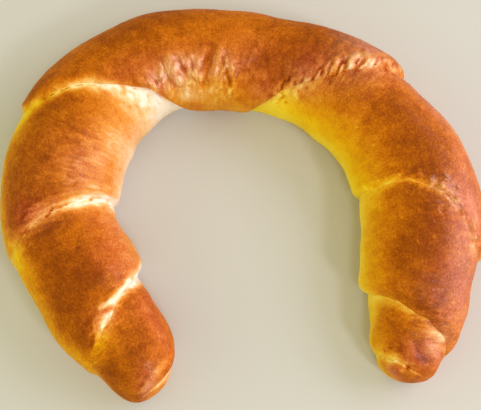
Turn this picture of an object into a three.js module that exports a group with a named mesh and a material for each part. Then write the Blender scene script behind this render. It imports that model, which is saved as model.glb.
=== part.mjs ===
import * as THREE from 'three';

// Crescent roll of soft dough in millimetres: a tapered strip rolled up and bent into a horseshoe.
// It lies on Z = 0, its crown towards +Y and the gap between its two arms open towards -Y.

// Middle of the roll, from the left tip over the crown to the right tip: x, y, half width, height
const STATIONS = [
  [-33.8, -67.9, 10.0, 17.0],
  [-36.3, -52.7, 14.2, 23.0],
  [-47.1, -37.3, 17.4, 27.0],
  [-60.7, -11.7, 19.2, 29.0],
  [-62.0, 7.3, 20.0, 30.5],
  [-53.0, 30.3, 19.8, 31.0],
  [-33.8, 46.7, 17.6, 30.0],
  [-9.7, 50.5, 17.3, 29.0],
  [16.8, 46.3, 17.0, 29.5],
  [40.4, 34.0, 18.7, 31.0],
  [56.3, 12.7, 19.8, 31.0],
  [60.9, -8.7, 20.5, 30.0],
  [58.8, -31.7, 18.3, 28.0],
  [56.1, -48.7, 13.3, 22.0],
  [53.5, -61.4, 8.4, 16.5],
];
const CROWN_STATION = 7; // lengths along the roll are counted from this station

// Seams where one turn of dough lies over the next, from the left tip to the right tip. Each list holds
// values at the inner flank, inner shoulder, ridge, outer shoulder and outer flank.
// crossings: length along the roll; steps: how far the upper lap stands over the lower one
// soft: 0 where the lip is round and stands over a crease, 1 where it slopes away gently
const SEAMS = [
  {
    crossings: [-146.5, -153.2, -156.8, -157.2, -157.4],
    steps: [2.2, 1.8, 0.6, 0.3, 0.2],
    soft: [0.1, 0.4, 0.8, 1.0, 1.0],
  },
  {
    crossings: [-119.8, -123.8, -130.8, -137.5, -146.5],
    steps: [4.6, 3.4, 1.6, 0.6, 1.0],
    soft: [0.0, 0.0, 0.4, 1.0, 1.0],
  },
  {
    crossings: [-86.4, -86.6, -90.4, -95.8, -101.5],
    steps: [2.4, 2.0, 1.2, 0.5, 1.3],
    soft: [0.1, 0.5, 0.8, 1.0, 1.0],
  },
  {
    crossings: [-15.6, -28.0, -43.6, -57.8, -61.5],
    steps: [1.8, 2.2, 2.2, 1.8, 1.7],
    soft: [0.0, 0.1, 0.4, 0.6, 0.3],
  },
  {
    crossings: [18.6, 28.0, 44.6, 56.0, 59.5],
    steps: [1.8, 2.0, 2.3, 2.6, 3.8],
    soft: [0.0, 0.1, 0.1, 0.1, 0.1],
  },
  {
    crossings: [88.0, 88.2, 92.6, 110.2, 114.6],
    steps: [2.0, 1.3, 0.6, 1.2, 4.2],
    soft: [0.2, 0.5, 0.9, 1.0, 0.6],
  },
  {
    crossings: [128.6, 130.2, 135.0, 140.6, 145.0],
    steps: [4.2, 3.0, 2.0, 2.2, 2.6],
    soft: [0.0, 0.1, 0.3, 0.3, 0.2],
  },
  {
    crossings: [149.0, 149.7, 151.7, 153.0, 154.0],
    steps: [2.0, 1.7, 0.9, 0.2, 0.1],
    soft: [0.1, 0.4, 0.8, 1.0, 1.0],
  },
];
// The crown lap lies over the seams at both its ends. A lap to its left lies over the seam towards the
// left tip, a lap to its right over the seam towards the right tip.
const CROWN_LAP = 4;

// Section of the roll, as shares of its height
const WIDEST_AT = 0.43;
const PRESSED_FLAT = 0.09;
const UPPER_POWER = 2.15; // 2 is an ellipse, more is squarer
const LOWER_POWER = 2.3;

// Relief at a seam
const LAP_SWELL = 14.0; // length over which a lap swells towards its lip and is pinched past the seam
const LIP_LENGTH = 4.4; // length over which the lip rounds down into the seam
const CREASE_DEPTH = 0.35;
const CREASE_LENGTH = 2.0;
const CREASE_REACH = 2 * CREASE_LENGTH;
const SHORT_LAP = 14.0; // where a lap is shorter than this, its seam relief is drawn in
const LEAST_SHARE = 0.05;

// Places round the roll in half turns: 0 is the inner flank, 0.5 the ridge, 1 the outer flank
const SEAM_BELOW_FLANK = 0.2; // a seam keeps its slant this far below a flank
const SEAM_FADES_BELOW = 0.35;
const BASE_EDGE = 0.3; // how far below a flank the roll touches the tray

// Rounded ends of the roll
const LEFT_END = 13.0;
const RIGHT_END = 5.0;
const END_OF_LAP = 0.6; // most of the last lap's length that a rounded end takes

// Folds and ridges, on the inner side of the crown and at the two tips:
// length and place at both ends, height, half width
const FOLDS = [
  { from: [-0.7, 0.47], to: [-3.0, 0.22], height: -1.3, halfWidth: 1.5 },
  { from: [-15.4, 0.41], to: [-12.6, 0.27], height: 0.7, halfWidth: 2.0 },
  { from: [-5.8, 0.40], to: [-4.6, 0.27], height: 0.6, halfWidth: 1.7 },
  { from: [2.6, 0.45], to: [0.6, 0.29], height: 0.6, halfWidth: 1.5 },
  { from: [7.2, 0.38], to: [8.2, 0.24], height: 0.5, halfWidth: 1.4 },
  { from: [141.0, 0.55], to: [144.5, 0.62], height: 0.6, halfWidth: 1.5 },
  { from: [-147.0, 0.24], to: [-154.0, 0.42], height: 0.6, halfWidth: 1.7 },
];
const HALF_TURN = 56.0; // mm of skin in half a turn round the roll

// Soft bulges and hollows of the flanks: length and reach along the roll, place and reach round it, height
const BULGES = [
  [64.5, 8.0, 0.86, 0.20, -1.9],
  [-32.0, 8.0, 0.88, 0.20, 0.4],
  [-84.0, 16.0, 0.80, 0.20, -0.8],
  [20.0, 7.0, 0.95, 0.20, -0.3],
  [40.0, 9.0, 0.88, 0.20, 0.5],
  [148.5, 5.0, 0.92, 0.20, -0.8],
  [132.5, 5.0, 0.08, 0.18, -1.6],
  [145.5, 5.0, 0.08, 0.18, 1.2],
  [120.5, 8.0, 0.85, 0.22, -1.2],
  [-152.0, 4.0, 0.08, 0.16, 0.8],
  [3.0, 11.0, 0.03, 0.14, -0.4],
  [-66.0, 12.0, 0.05, 0.16, 0.5],
];

// Slow unevenness of the risen dough: height, length of one wave along the roll, waves round it, phase
const WAVES = [
  [0.22, 41.0, 1, 0.6],
  [0.20, 27.0, -1, 2.1],
  [0.15, 17.0, 2, 4.0],
];

// Fineness of the skin
const SPANS_OVER = 34;
const SPANS_UNDER = 4;
const SEAM_ROWS = 4;
const END_ROWS = 7;
const ROW_LENGTH = 6.5;
const LEAST_MIDDLE_ROWS = 2;
const STEPS_PER_STATION = 60;

const CRUST = { color: '#b96a1c', roughness: 0.45, metalness: 0 };

function clamp(value, low, high) {
  return Math.min(Math.max(value, low), high);
}

function mix(a, b, share) {
  return a + (b - a) * share;
}

function smooth(share) {
  return share * share * (3 - 2 * share);
}

// Smooth curve through evenly spaced values; t counts values from 0
function through(values, t) {
  const last = values.length - 1;
  const i = clamp(Math.floor(t), 0, last - 1);
  const f = t - i;
  const b = values[i];
  const c = values[i + 1];
  const a = i > 0 ? values[i - 1] : 2 * b - c;
  const d = i + 1 < last ? values[i + 2] : 2 * c - b;
  const bend = (2 * a - 5 * b + 4 * c - d) * f + (3 * b - a - 3 * c + d) * f * f;
  return b + 0.5 * f * (c - a + bend);
}

// Value at a place round the roll, from values spaced evenly from the inner to the outer flank
function overTheRoll(values, place) {
  return through(values, clamp(place, 0, 1) * (values.length - 1));
}

// The roll's middle line, sampled finely, with lengths counted from the crown
function sampleSpine() {
  const columns = [0, 1, 2, 3].map((k) => STATIONS.map((station) => station[k]));
  const samples = [];
  for (let i = 0; i <= (STATIONS.length - 1) * STEPS_PER_STATION; i += 1) {
    const [x, y, halfWidth, height] = columns.map((values) => through(values, i / STEPS_PER_STATION));
    const before = samples[i - 1];
    const length = before ? before.length + Math.hypot(x - before.x, y - before.y) : 0;
    samples.push({ x, y, halfWidth, height, length });
  }
  const crown = samples[CROWN_STATION * STEPS_PER_STATION].length;
  samples.forEach((sample, i) => {
    const before = samples[Math.max(i - 1, 0)];
    const after = samples[Math.min(i + 1, samples.length - 1)];
    const run = Math.hypot(after.x - before.x, after.y - before.y);
    sample.outX = -(after.y - before.y) / run;
    sample.outY = (after.x - before.x) / run;
  });
  samples.forEach((sample) => {
    sample.length -= crown;
  });
  return samples;
}

const SPINE = sampleSpine();
const LEFT_TIP = SPINE[0].length;
const RIGHT_TIP = SPINE[SPINE.length - 1].length;

function spineAt(length) {
  let low = 0;
  let high = SPINE.length - 1;
  while (high - low > 1) {
    const middle = (low + high) >> 1;
    if (SPINE[middle].length <= length) low = middle;
    else high = middle;
  }
  const a = SPINE[low];
  const b = SPINE[high];
  const share = clamp((length - a.length) / (b.length - a.length), 0, 1);
  const names = ['x', 'y', 'halfWidth', 'height', 'outX', 'outY'];
  return Object.fromEntries(names.map((name) => [name, mix(a[name], b[name], share)]));
}

// Length along the roll where a seam passes a place round it; under the roll it swings back to its start
function seamCrossing(seam, place) {
  const c = seam.crossings;
  const innerSlant = (c[1] - c[0]) * 4;
  const outerSlant = (c[4] - c[3]) * 4;
  const innerEnd = c[0] - SEAM_BELOW_FLANK * innerSlant;
  const outerEnd = c[4] + SEAM_BELOW_FLANK * outerSlant;
  const back = (place - 1 - SEAM_BELOW_FLANK) / (1 - 2 * SEAM_BELOW_FLANK);
  if (back > 0) return mix(outerEnd, innerEnd, smooth(Math.min(back, 1)));
  if (place < 0) return c[0] + Math.max(place, -SEAM_BELOW_FLANK) * innerSlant;
  if (place > 1) return c[4] + (place - 1) * outerSlant;
  return overTheRoll(c, place);
}

function seamStep(seam, place) {
  const below = Math.max(-place, place - 1, 0);
  const share = clamp(1 - below / SEAM_FADES_BELOW, 0, 1);
  return overTheRoll(seam.steps, place) * smooth(share);
}

// Height of the lap that ends at a seam, by distance back from it
function lipRelief(step, soft, distance) {
  const swell = 0.5 * step * Math.exp(-distance / LAP_SWELL);
  const floor = -0.5 * step - (1 - soft) * Math.min(CREASE_DEPTH, step);
  const over = clamp(1 - distance / LIP_LENGTH, 0, 1);
  return mix(floor, swell, mix(Math.sqrt(1 - over * over), 1 - smooth(over), soft));
}

// Height of the lap that comes out from under a seam, by distance from it
function creaseRelief(step, soft, distance) {
  const pinch = -0.5 * step * Math.exp(-distance / LAP_SWELL);
  return pinch - (1 - soft) * Math.min(CREASE_DEPTH, step) * Math.exp(-distance / CREASE_LENGTH);
}

// 1 at 0, falling smoothly to nearly nothing at twice the reach
function hill(value, reach) {
  return Math.exp(-((value / reach) ** 2));
}

function foldRelief(length, place) {
  let total = 0;
  for (const { from, to, height, halfWidth } of FOLDS) {
    const runAlong = to[0] - from[0];
    const runRound = (to[1] - from[1]) * HALF_TURN;
    const along = length - from[0];
    const round = (place - from[1]) * HALF_TURN;
    const share = clamp((along * runAlong + round * runRound) / (runAlong ** 2 + runRound ** 2), 0, 1);
    total += height * hill(Math.hypot(along - share * runAlong, round - share * runRound), halfWidth);
  }
  return total;
}

function unevenRelief(length, place) {
  let total = 0;
  for (const [height, waveLength, turns, phase] of WAVES) {
    total += height * Math.sin((2 * Math.PI * length) / waveLength + Math.PI * turns * place + phase);
  }
  for (const [middle, along, middlePlace, around, height] of BULGES) {
    total += height * hill(length - middle, along) * hill(place - middlePlace, around);
  }
  return total;
}

// Share of the full section left at a length: 1 along the roll, falling to 0 at the two tips
function endShare(length) {
  const left = clamp((length - LEFT_TIP) / LEFT_END, 0, 1);
  const right = clamp((RIGHT_TIP - length) / RIGHT_END, 0, 1);
  const inset = 1 - Math.min(left, right);
  return Math.sqrt(Math.max(1 - inset * inset, 0));
}

function skinPoint(length, place, relief) {
  const { x, y, halfWidth, height, outX, outY } = spineAt(length);
  const cos = Math.cos(Math.PI * place);
  const sin = Math.sin(Math.PI * place);
  const power = 2 / (sin >= 0 ? UPPER_POWER : LOWER_POWER);
  const across = -Math.sign(cos) * Math.abs(cos) ** power;
  const up = Math.sign(sin) * Math.abs(sin) ** power;
  const middle = WIDEST_AT * height;
  const reach = sin >= 0 ? height - middle : middle + PRESSED_FLAT * height;
  const slopeAcross = across / halfWidth;
  const slopeUp = up / reach;
  const slope = Math.hypot(slopeAcross, slopeUp);
  const share = endShare(length);
  const out = (halfWidth * across + (relief * slopeAcross) / slope) * share;
  const z = Math.max(middle + reach * up + (relief * slopeUp) / slope, 0);
  return new THREE.Vector3(x + out * outX, y + out * outY, mix(middle, z, share));
}

// Places round the roll, close together over it and far apart on the flat base
function placesRound() {
  const places = [];
  const over = 1 + 2 * BASE_EDGE;
  for (let i = 0; i < SPANS_OVER; i += 1) places.push(-BASE_EDGE + (over * i) / SPANS_OVER);
  for (let i = 0; i < SPANS_UNDER; i += 1) places.push(1 + BASE_EDGE + ((2 - over) * i) / SPANS_UNDER);
  return places;
}

// How much of its full length the seam relief has on a lap of a given length
function drawnIn(lapLength) {
  return clamp(lapLength / SHORT_LAP, LEAST_SHARE, 1);
}

// Distances of close rows from a seam or a tip, the nearest first, over a reach
function nearDistances(rows, reach) {
  const distances = [];
  for (let i = 0; i < rows; i += 1) distances.push(reach * (1 - Math.cos((0.5 * Math.PI * i) / rows)));
  return distances;
}

// One end of a lap that stops at a tip of the roll
function tipEnd(tipLength, endLength) {
  return {
    rows: END_ROWS,
    at: () => tipLength,
    reach: (lapLength) => Math.min(endLength, END_OF_LAP * lapLength),
    relief: () => 0,
  };
}

// One end of a lap that lies over a seam, or comes out from under it
function seamEnd(seam, isLip) {
  return {
    rows: SEAM_ROWS,
    at: (place) => seamCrossing(seam, place),
    reach: (lapLength) => drawnIn(lapLength) * (isLip ? LIP_LENGTH : CREASE_REACH),
    relief: (place, distance) => {
      const step = seamStep(seam, place);
      const soft = clamp(overTheRoll(seam.soft, place), 0, 1);
      return isLip ? lipRelief(step, soft, distance) : creaseRelief(step, soft, distance);
    },
  };
}

// All rows of one lap, each a list of points round the roll
function lapRows(index, places) {
  const leftSeam = SEAMS[index - 1];
  const rightSeam = SEAMS[index];
  const left = leftSeam ? seamEnd(leftSeam, index <= CROWN_LAP) : tipEnd(LEFT_TIP, LEFT_END);
  const right = rightSeam ? seamEnd(rightSeam, index >= CROWN_LAP) : tipEnd(RIGHT_TIP, RIGHT_END);
  const longest = Math.max(...places.map((place) => right.at(place) - left.at(place)));
  const middleRows = Math.max(LEAST_MIDDLE_ROWS, Math.round(longest / ROW_LENGTH));
  const columns = places.map((place) => {
    const from = left.at(place);
    const to = right.at(place);
    const leftReach = left.reach(to - from);
    const rightReach = right.reach(to - from);
    const lengths = nearDistances(left.rows, leftReach).map((distance) => from + distance);
    for (let i = 0; i <= middleRows; i += 1) {
      lengths.push(mix(from + leftReach, to - rightReach, i / middleRows));
    }
    lengths.push(...nearDistances(right.rows, rightReach).reverse().map((distance) => to - distance));
    const share = drawnIn(to - from);
    return lengths.map((length) => {
      const seams = left.relief(place, (length - from) / share) + right.relief(place, (to - length) / share);
      return skinPoint(length, place, seams + foldRelief(length, place) + unevenRelief(length, place));
    });
  });
  const rows = columns[0].map((_, row) => columns.map((column) => column[row]));
  return rightSeam ? rows.slice(0, -1) : rows; // the seam's own row belongs to the next lap
}

function skinGeometry() {
  const places = placesRound();
  const rows = [];
  for (let lap = 0; lap <= SEAMS.length; lap += 1) rows.push(...lapRows(lap, places));
  const rings = rows.slice(1, -1);
  const points = rings.flat();
  const leftPole = points.push(rows[0][0]) - 1;
  const rightPole = points.push(rows[rows.length - 1][0]) - 1;
  const around = places.length;
  const triangles = [];
  for (let column = 0; column < around; column += 1) {
    const next = (column + 1) % around;
    triangles.push(leftPole, column, next);
    for (let ring = 0; ring + 1 < rings.length; ring += 1) {
      const a = ring * around + column;
      const b = ring * around + next;
      triangles.push(a, b + around, b, a, a + around, b + around);
    }
    const lastRing = (rings.length - 1) * around;
    triangles.push(rightPole, lastRing + next, lastRing + column);
  }
  const geometry = new THREE.BufferGeometry().setFromPoints(points);
  geometry.setIndex(triangles);
  geometry.computeVertexNormals();
  return geometry;
}

const croissant = new THREE.Mesh(skinGeometry(), new THREE.MeshStandardMaterial(CRUST));
croissant.name = 'croissant';

const part = new THREE.Group();
part.name = 'croissant_part';
part.add(croissant);

export default part;
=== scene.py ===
import math

import bpy
import numpy as np
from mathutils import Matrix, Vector


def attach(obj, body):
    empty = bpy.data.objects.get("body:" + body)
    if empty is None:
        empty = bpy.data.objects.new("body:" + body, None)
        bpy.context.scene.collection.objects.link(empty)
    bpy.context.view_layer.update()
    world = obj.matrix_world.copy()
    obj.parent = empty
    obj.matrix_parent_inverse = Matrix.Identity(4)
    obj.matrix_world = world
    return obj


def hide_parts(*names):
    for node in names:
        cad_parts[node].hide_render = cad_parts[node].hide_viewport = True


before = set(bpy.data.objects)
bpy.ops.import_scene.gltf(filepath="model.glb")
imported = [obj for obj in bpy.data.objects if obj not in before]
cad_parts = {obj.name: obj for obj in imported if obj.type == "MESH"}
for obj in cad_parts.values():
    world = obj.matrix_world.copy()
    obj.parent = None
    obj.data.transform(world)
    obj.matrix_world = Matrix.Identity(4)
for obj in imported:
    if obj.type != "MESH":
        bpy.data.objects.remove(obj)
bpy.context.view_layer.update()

MM = 0.001  # the roll is worked out in millimetres and stored in metres

# Middle of the roll, from the left tip over the crown to the right tip: x, y, half width, height
STATIONS = np.array([
    [-33.8, -67.9, 10.0, 17.0],
    [-36.3, -52.7, 14.2, 23.0],
    [-47.1, -37.3, 17.4, 27.0],
    [-60.7, -11.7, 19.2, 29.0],
    [-62.0, 7.3, 20.0, 30.5],
    [-53.0, 30.3, 19.8, 31.0],
    [-33.8, 46.7, 17.6, 30.0],
    [-9.7, 50.5, 17.3, 29.0],
    [16.8, 46.3, 17.0, 29.5],
    [40.4, 34.0, 18.7, 31.0],
    [56.3, 12.7, 19.8, 31.0],
    [60.9, -8.7, 20.5, 30.0],
    [58.8, -31.7, 18.3, 28.0],
    [56.1, -48.7, 13.3, 22.0],
    [53.5, -61.4, 8.4, 16.5],
])
CROWN_STATION = 7  # lengths along the roll are counted from this station
HALF_TURN = 56.0  # mm of skin in half a turn round the arms, for small features

# Seams from the left tip to the right tip. Each list holds values at five places round the roll:
# the inner flank, inner shoulder, ridge, outer shoulder and outer flank.
# crossings: length along the roll where the seam passes
# steps: how far the upper lap stands over the lower one
# pale, reach: how pale the dough is past the seam, and for how many mm
# edge: how pale the lip's own edge is
# strokes: how far the crust beside the seam is drawn into fine strokes
# cracks: how far the seam is torn open; the tears are darkened as painted shade
# soft: 0 where the lip is round and stands over a crease, 1 where it slopes away gently
SEAMS = [
    {"crossings": [-146.5, -153.2, -156.8, -157.2, -157.4], "steps": [2.2, 1.8, 0.6, 0.3, 0.2],
     "pale": [0.6, 0.5, 0.2, 0.0, 0.0], "reach": [5.0, 4.0, 2.0, 1.5, 1.5],
     "edge": [0.2, 0.15, 0.0, 0.0, 0.0], "strokes": [0.3, 0.5, 0.3, 0.0, 0.0],
     "cracks": [0.0, 0.0, 0.0, 0.0, 0.0], "soft": [0.1, 0.4, 0.8, 1.0, 1.0]},
    {"crossings": [-119.8, -123.8, -130.8, -137.5, -146.5], "steps": [4.6, 3.4, 1.6, 0.6, 1.0],
     "pale": [1.0, 0.9, 0.5, 0.15, 0.2], "reach": [4.0, 2.4, 1.6, 5.0, 5.0],
     "edge": [1.0, 1.0, 0.9, 0.0, 0.0], "strokes": [0.3, 0.6, 1.0, 0.4, 0.0],
     "cracks": [0.1, 0.5, 0.3, 0.0, 0.0], "soft": [0.0, 0.0, 0.4, 1.0, 1.0]},
    {"crossings": [-86.4, -86.6, -90.4, -95.8, -101.5], "steps": [2.4, 2.0, 1.2, 0.5, 1.3],
     "pale": [1.3, 1.2, 0.74, 0.18, 0.70], "reach": [5.5, 5.0, 2.2, 4.0, 12.0],
     "edge": [1.0, 1.0, 0.4, 0.2, 0.8], "strokes": [0.2, 0.25, 0.6, 0.7, 0.5],
     "cracks": [0.0, 0.1, 0.4, 0.0, 0.0], "soft": [0.1, 0.5, 0.8, 1.0, 1.0]},
    {"crossings": [-15.6, -28.0, -43.6, -57.8, -61.5], "steps": [1.8, 2.2, 2.2, 1.8, 1.7],
     "pale": [1.4, 1.3, 0.9, 0.75, 1.0], "reach": [17.0, 12.0, 3.6, 4.2, 11.0],
     "edge": [0.1, 0.2, 0.5, 0.5, 0.5], "strokes": [0.25, 0.3, 0.3, 0.2, 0.1],
     "cracks": [0.0, 0.5, 0.9, 0.8, 0.2], "soft": [0.0, 0.1, 0.4, 0.6, 0.3]},
    {"crossings": [18.6, 28.0, 44.6, 56.0, 59.5], "steps": [1.8, 2.0, 2.3, 2.6, 3.8],
     "pale": [0.9, 0.7, 0.25, 0.25, 0.25], "reach": [14.0, 6.0, 1.4, 1.4, 1.6],
     "edge": [0.1, 0.12, 0.4, 0.42, 0.3], "strokes": [0.4, 0.8, 1.0, 1.0, 0.8],
     "cracks": [0.1, 0.4, 0.2, 0.3, 0.1], "soft": [0.0, 0.1, 0.1, 0.1, 0.1]},
    {"crossings": [88.0, 88.2, 92.6, 110.2, 114.6], "steps": [2.0, 1.3, 0.6, 1.2, 4.2],
     "pale": [0.8, 0.6, 0.45, 0.1, 0.3], "reach": [4.5, 2.6, 1.8, 1.6, 3.0],
     "edge": [0.4, 0.35, 0.25, 0.1, 0.2], "strokes": [0.3, 0.5, 0.7, 0.8, 0.5],
     "cracks": [0.1, 0.1, 0.1, 0.0, 0.0], "soft": [0.2, 0.5, 0.9, 1.0, 0.6]},
    {"crossings": [128.6, 130.2, 135.0, 140.6, 145.0], "steps": [4.2, 3.0, 2.0, 2.2, 2.6],
     "pale": [0.75, 0.70, 0.60, 0.40, 0.2], "reach": [3.2, 2.8, 3.4, 4.0, 2.4],
     "edge": [0.2, 0.2, 0.15, 0.1, 0.1], "strokes": [0.2, 0.4, 0.8, 0.9, 0.6],
     "cracks": [0.0, 0.0, 0.0, 0.0, 0.0], "soft": [0.0, 0.1, 0.3, 0.3, 0.2]},
    {"crossings": [149.0, 149.7, 151.7, 153.0, 154.0], "steps": [2.0, 1.7, 0.9, 0.2, 0.1],
     "pale": [0.8, 0.7, 0.5, 0.0, 0.0], "reach": [2.5, 2.4, 2.4, 1.5, 1.5],
     "edge": [0.4, 0.4, 0.2, 0.0, 0.0], "strokes": [0.2, 0.4, 0.4, 0.3, 0.0],
     "cracks": [0.0, 0.1, 0.2, 0.0, 0.0], "soft": [0.1, 0.4, 0.8, 1.0, 1.0]},
]
CROWN_LAP = 4  # the lap that lies over the seams at both its ends
EDGE_REACH = 1.8  # mm of a lip's edge that is pale where it is half pale, more where it is paler
STROKES_REACH = 6.0  # mm from a seam
STROKES_ELSEWHERE = 0.10
STROKES_OF_SHINE = 0.7  # how far a fully shiny crust is drawn into strokes
CRACKS_PAST = 1.1  # mm from the lip
CRACK_HALF_WIDTH = 0.25
CRACK_DEPTH = 0.4
# bake added in the tears: painted shade
CRACK_PAINTED_SHADE = 0.7
CRACK_STARTS = 0.10  # value of the noise above which a seam is torn open
CRACK_FULL = 0.45

# Laps from the left tip to the right tip, with values at the same five places.
# bake: how brown the crust is, 0 pale dough to 1 nearly black
# shaded yellow: how far its pale parts are painted yellow, as pale dough looks in shade, instead of cream, as
# it looks in light; this painted shade is highest on flanks that face away from the key lamp
# rim: the place where the crust turns pale low on the outer flank, and how pale it gets; partly pale dough
# and partly a painted glow along the outline
LAPS = [
    {"bake": [0.35, 0.58, 0.66, 0.62, 0.50], "shaded_yellow": [0.0, 0.1, 0.3, 0.6, 0.4], "pale_rim_and_glow": (0.75, 0.4)},
    {"bake": [0.48, 0.62, 0.68, 0.64, 0.52], "shaded_yellow": [0.0, 0.1, 0.5, 0.9, 0.5], "pale_rim_and_glow": (0.74, 0.7)},
    {"bake": [0.28, 0.61, 0.84, 0.78, 0.62], "shaded_yellow": [0.0, 0.1, 0.3, 1.0, 0.8], "pale_rim_and_glow": (0.62, 0.75)},
    {"bake": [0.14, 0.38, 0.69, 0.73, 0.60], "shaded_yellow": [0.0, 0.0, 0.3, 0.9, 0.7], "pale_rim_and_glow": (0.70, 1.0)},
    {"bake": [0.42, 0.53, 0.67, 0.69, 0.60], "shaded_yellow": [0.6, 0.5, 0.3, 0.3, 0.5], "pale_rim_and_glow": (0.78, 0.35)},
    {"bake": [0.03, 0.41, 0.77, 0.61, 0.50], "shaded_yellow": [1.0, 0.96, 0.6, 0.1, 0.0], "pale_rim_and_glow": (0.80, 0.0)},
    {"bake": [0.04, 0.50, 0.85, 0.62, 0.50], "shaded_yellow": [0.95, 0.92, 0.6, 0.1, 0.0], "pale_rim_and_glow": (0.80, 0.0)},
    {"bake": [0.16, 0.52, 0.72, 0.64, 0.50], "shaded_yellow": [0.95, 0.8, 0.5, 0.1, 0.0], "pale_rim_and_glow": (0.80, 0.0)},
    {"bake": [0.25, 0.52, 0.64, 0.62, 0.50], "shaded_yellow": [0.9, 0.7, 0.4, 0.0, 0.0], "pale_rim_and_glow": (0.80, 0.0)},
]
RIM_WIDTH = 0.24  # half turns over which it turns pale
# bake the rim turns to: partly pale dough and partly a painted glow
RIM_BAKE_AND_GLOW = 0.27

# Soft patches: length and reach along the roll, place and reach round it, change of bake
BAKE_PATCHES = [
    (2.0, 9.0, 0.12, 0.12, -0.22),
    (32.0, 10.0, 0.58, 0.15, 0.07),
    (-100.0, 10.0, 0.45, 0.15, -0.05),
    (-90.0, 5.0, 0.64, 0.12, 0.08),
    (-139.0, 7.0, 0.78, 0.12, -0.03),
    (-101.0, 6.0, 0.78, 0.10, -0.24),
    (-65.0, 4.0, 0.88, 0.09, -0.25),
    (143.0, 4.0, 0.62, 0.12, -0.22),
    (98.0, 6.0, 0.50, 0.12, -0.14),
    (-138.0, 6.0, 0.62, 0.14, -0.04),
    (102.0, 8.0, 0.66, 0.12, -0.12),
    (54.0, 9.0, 0.54, 0.16, -0.14),
    (20.0, 12.0, 0.32, 0.17, 0.19),
    (124.0, 14.0, 0.68, 0.14, -0.04),
    (-11.0, 6.0, 0.18, 0.09, -0.14),
    (-16.0, 7.0, 0.33, 0.10, -0.08),
    (-42.0, 12.0, 0.80, 0.10, -0.08),
    (-66.0, 6.0, 0.72, 0.12, -0.12),
    (-135.0, 4.0, 0.66, 0.10, -0.14),
    (-145.0, 8.0, 0.70, 0.16, 0.14),
    (34.0, 6.0, 0.47, 0.12, 0.15),
    (47.0, 7.0, 0.66, 0.18, -0.06),
    (-69.0, 10.0, 0.14, 0.10, 0.06),
    (-139.0, 5.0, 0.61, 0.09, 0.08),
    (119.0, 8.0, 0.34, 0.13, 0.08),
    (-72.0, 10.0, 0.46, 0.14, 0.06),
    (-124.0, 7.0, 0.48, 0.13, -0.14),
    (-97.0, 4.5, 0.80, 0.08, -0.30),
    (-121.0, 9.0, 0.80, 0.09, 0.14),
    (-63.5, 4.0, 0.82, 0.09, -0.22),
    (-11.0, 5.0, 0.13, 0.07, -0.14),
    (9.0, 7.0, 0.10, 0.09, 0.12),
    (-38.0, 6.0, 0.47, 0.10, -0.05),
]
BASE_BAKE = 0.70
BASE_STARTS = (1.27, 1.36)  # places between which the outer flank turns into the browned base
BASE_ENDS = (1.64, 1.73)  # places between which the base turns into the inner flank
PLEATS_PAINTED_LIGHT_AND_SHADE = 0.36  # how much paler each mm of a pleat's rise is, and darker each mm of its hollow: painted highlight and painted shade
WRINKLES_PAINTED_LIGHT_AND_SHADE = 0.26  # the same for wrinkles

# Soft patches where pale dough is painted more or less yellow, as in shade, than its lap is, in the same way
SHADED_YELLOW_PATCHES = [
    (-60.0, 12.0, 0.80, 0.12, 0.6),
    (-138.0, 8.0, 0.60, 0.16, 0.4),
    (-9.0, 8.0, 0.14, 0.10, -0.4),
]

# Soft patches where the crust is ruddy, partly real redness and partly a painted pink sheen, in the same way
RUDDY_AND_SHEEN_PATCHES = [
    (48.0, 9.0, 0.68, 0.20, 0.85),
    (33.0, 8.0, 0.42, 0.14, 0.60),
    (21.0, 5.5, 0.24, 0.10, 0.55),
    (-20.0, 9.0, 0.32, 0.12, 0.85),
    (-7.0, 9.0, 0.37, 0.10, 0.60),
    (12.0, 9.0, 0.42, 0.14, 0.45),
    (-35.0, 7.0, 0.44, 0.08, 0.55),
    (75.0, 18.0, 0.82, 0.16, 0.50),
    (102.0, 12.0, 0.70, 0.16, 0.80),
    (126.0, 16.0, 0.70, 0.18, 0.95),
    (147.0, 5.0, 0.60, 0.18, 0.90),
    (153.5, 2.5, 0.30, 0.10, 0.80),
    (-151.5, 5.0, 0.38, 0.10, 0.80),
    (-115.0, 6.0, 0.32, 0.12, 0.60),
    (-128.0, 3.5, 0.49, 0.09, 0.85),
    (-90.0, 5.0, 0.62, 0.14, 0.80),
    (-74.0, 14.0, 0.36, 0.16, 0.35),
    (-108.0, 14.0, 0.14, 0.14, 0.60),
    (-136.0, 12.0, 0.16, 0.14, 0.70),
    (-60.0, 20.0, 0.08, 0.14, 0.40),
]

# Section of the roll: shares of its height, and how square its upper and lower halves are
WIDEST_AT = 0.43
PRESSED_FLAT = 0.09
UPPER_POWER = 2.15
LOWER_POWER = 2.3

# Relief at a seam, in mm; a short lap has only a share of it
LAP_SWELL = 14.0
LIP_LENGTH = 4.4
CREASE_DEPTH = 0.35
CREASE_LENGTH = 2.0
CREASE_REACH = 2 * CREASE_LENGTH
SHORT_LAP = 14.0
LEAST_SHARE = 0.05

# Places round the roll in half turns: 0 is the inner flank, 0.5 the ridge, 1 the outer flank
SEAM_BELOW_FLANK = 0.2
SEAM_FADES_BELOW = 0.35
BASE_EDGE = 0.3

# Rounded ends of the roll, in mm, and the share of its lap that an end may take
LEFT_END = 13.0
RIGHT_END = 5.0
END_OF_LAP = 0.6
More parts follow.
